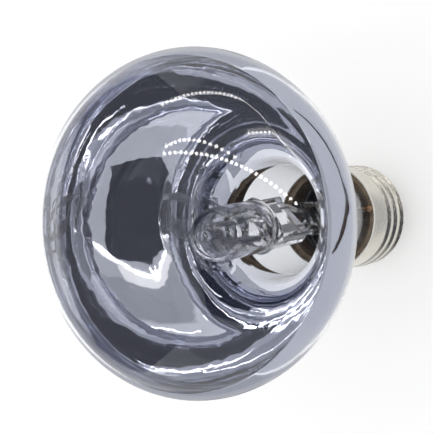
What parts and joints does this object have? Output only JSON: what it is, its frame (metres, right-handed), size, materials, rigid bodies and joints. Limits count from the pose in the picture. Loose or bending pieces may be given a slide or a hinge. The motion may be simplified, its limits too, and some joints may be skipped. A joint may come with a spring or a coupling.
{
  "type": "heat lamp bulb",
  "caption": "Reflector heat lamp bulb: clear domed face, aluminised bowl and upper neck, quartz halogen capsule on a glass stem and a screw cap with a centre contact.",
  "frame": {"origin": "centre of the worn flat on the centre contact's solder, the lowest point of the cap", "axes": "+Z along the lamp axis from the cap to the face; the lamp is held by its screw cap, with the face up"},
  "size_m": [0.08, 0.08, 0.1109],
  "materials": {
    "clear_glass": "clear blown glass, polished",
    "mirror_film": "vapour-deposited aluminium mirror",
    "stem_glass": "clear lead-free glass, fire polished",
    "quartz": "clear quartz, rippled where it is pressed",
    "nickel_wire": "drawn wire, satin",
    "copper_wire": "bare drawn wire",
    "molybdenum_foil": "matt etched foil",
    "molybdenum_pin": "drawn wire, darkened by heat",
    "tungsten": "drawn wire, dull",
    "nickel_plate": "bright nickel plate over rolled brass",
    "black_glass": "black insulating glass, glossy",
    "contact_brass": "stamped brass, satin",
    "solder": "dull solder",
    "cement": "matt basing cement"
  },
  "bodies": {
    "root": {"envelope": "clear_glass", "reflector_coating": "mirror_film", "glass_stem": "stem_glass", "capsule_bulb": "quartz", "support_wire_1": "nickel_wire", "support_wire_2": "nickel_wire", "centre_lead": "copper_wire", "side_lead": "copper_wire", "foil_1": "molybdenum_foil", "foil_2": "molybdenum_foil", "capsule_pin_1": "molybdenum_pin", "capsule_pin_2": "molybdenum_pin", "filament": "tungsten", "filament_lead_1": "tungsten", "filament_lead_2": "tungsten", "filament_hook": "tungsten", "cap_shell": "nickel_plate", "cap_insulator": "black_glass", "centre_contact": "contact_brass", "centre_solder": "solder", "side_solder": "solder", "basing_cement": "cement"}
  },
  "joints": []
}
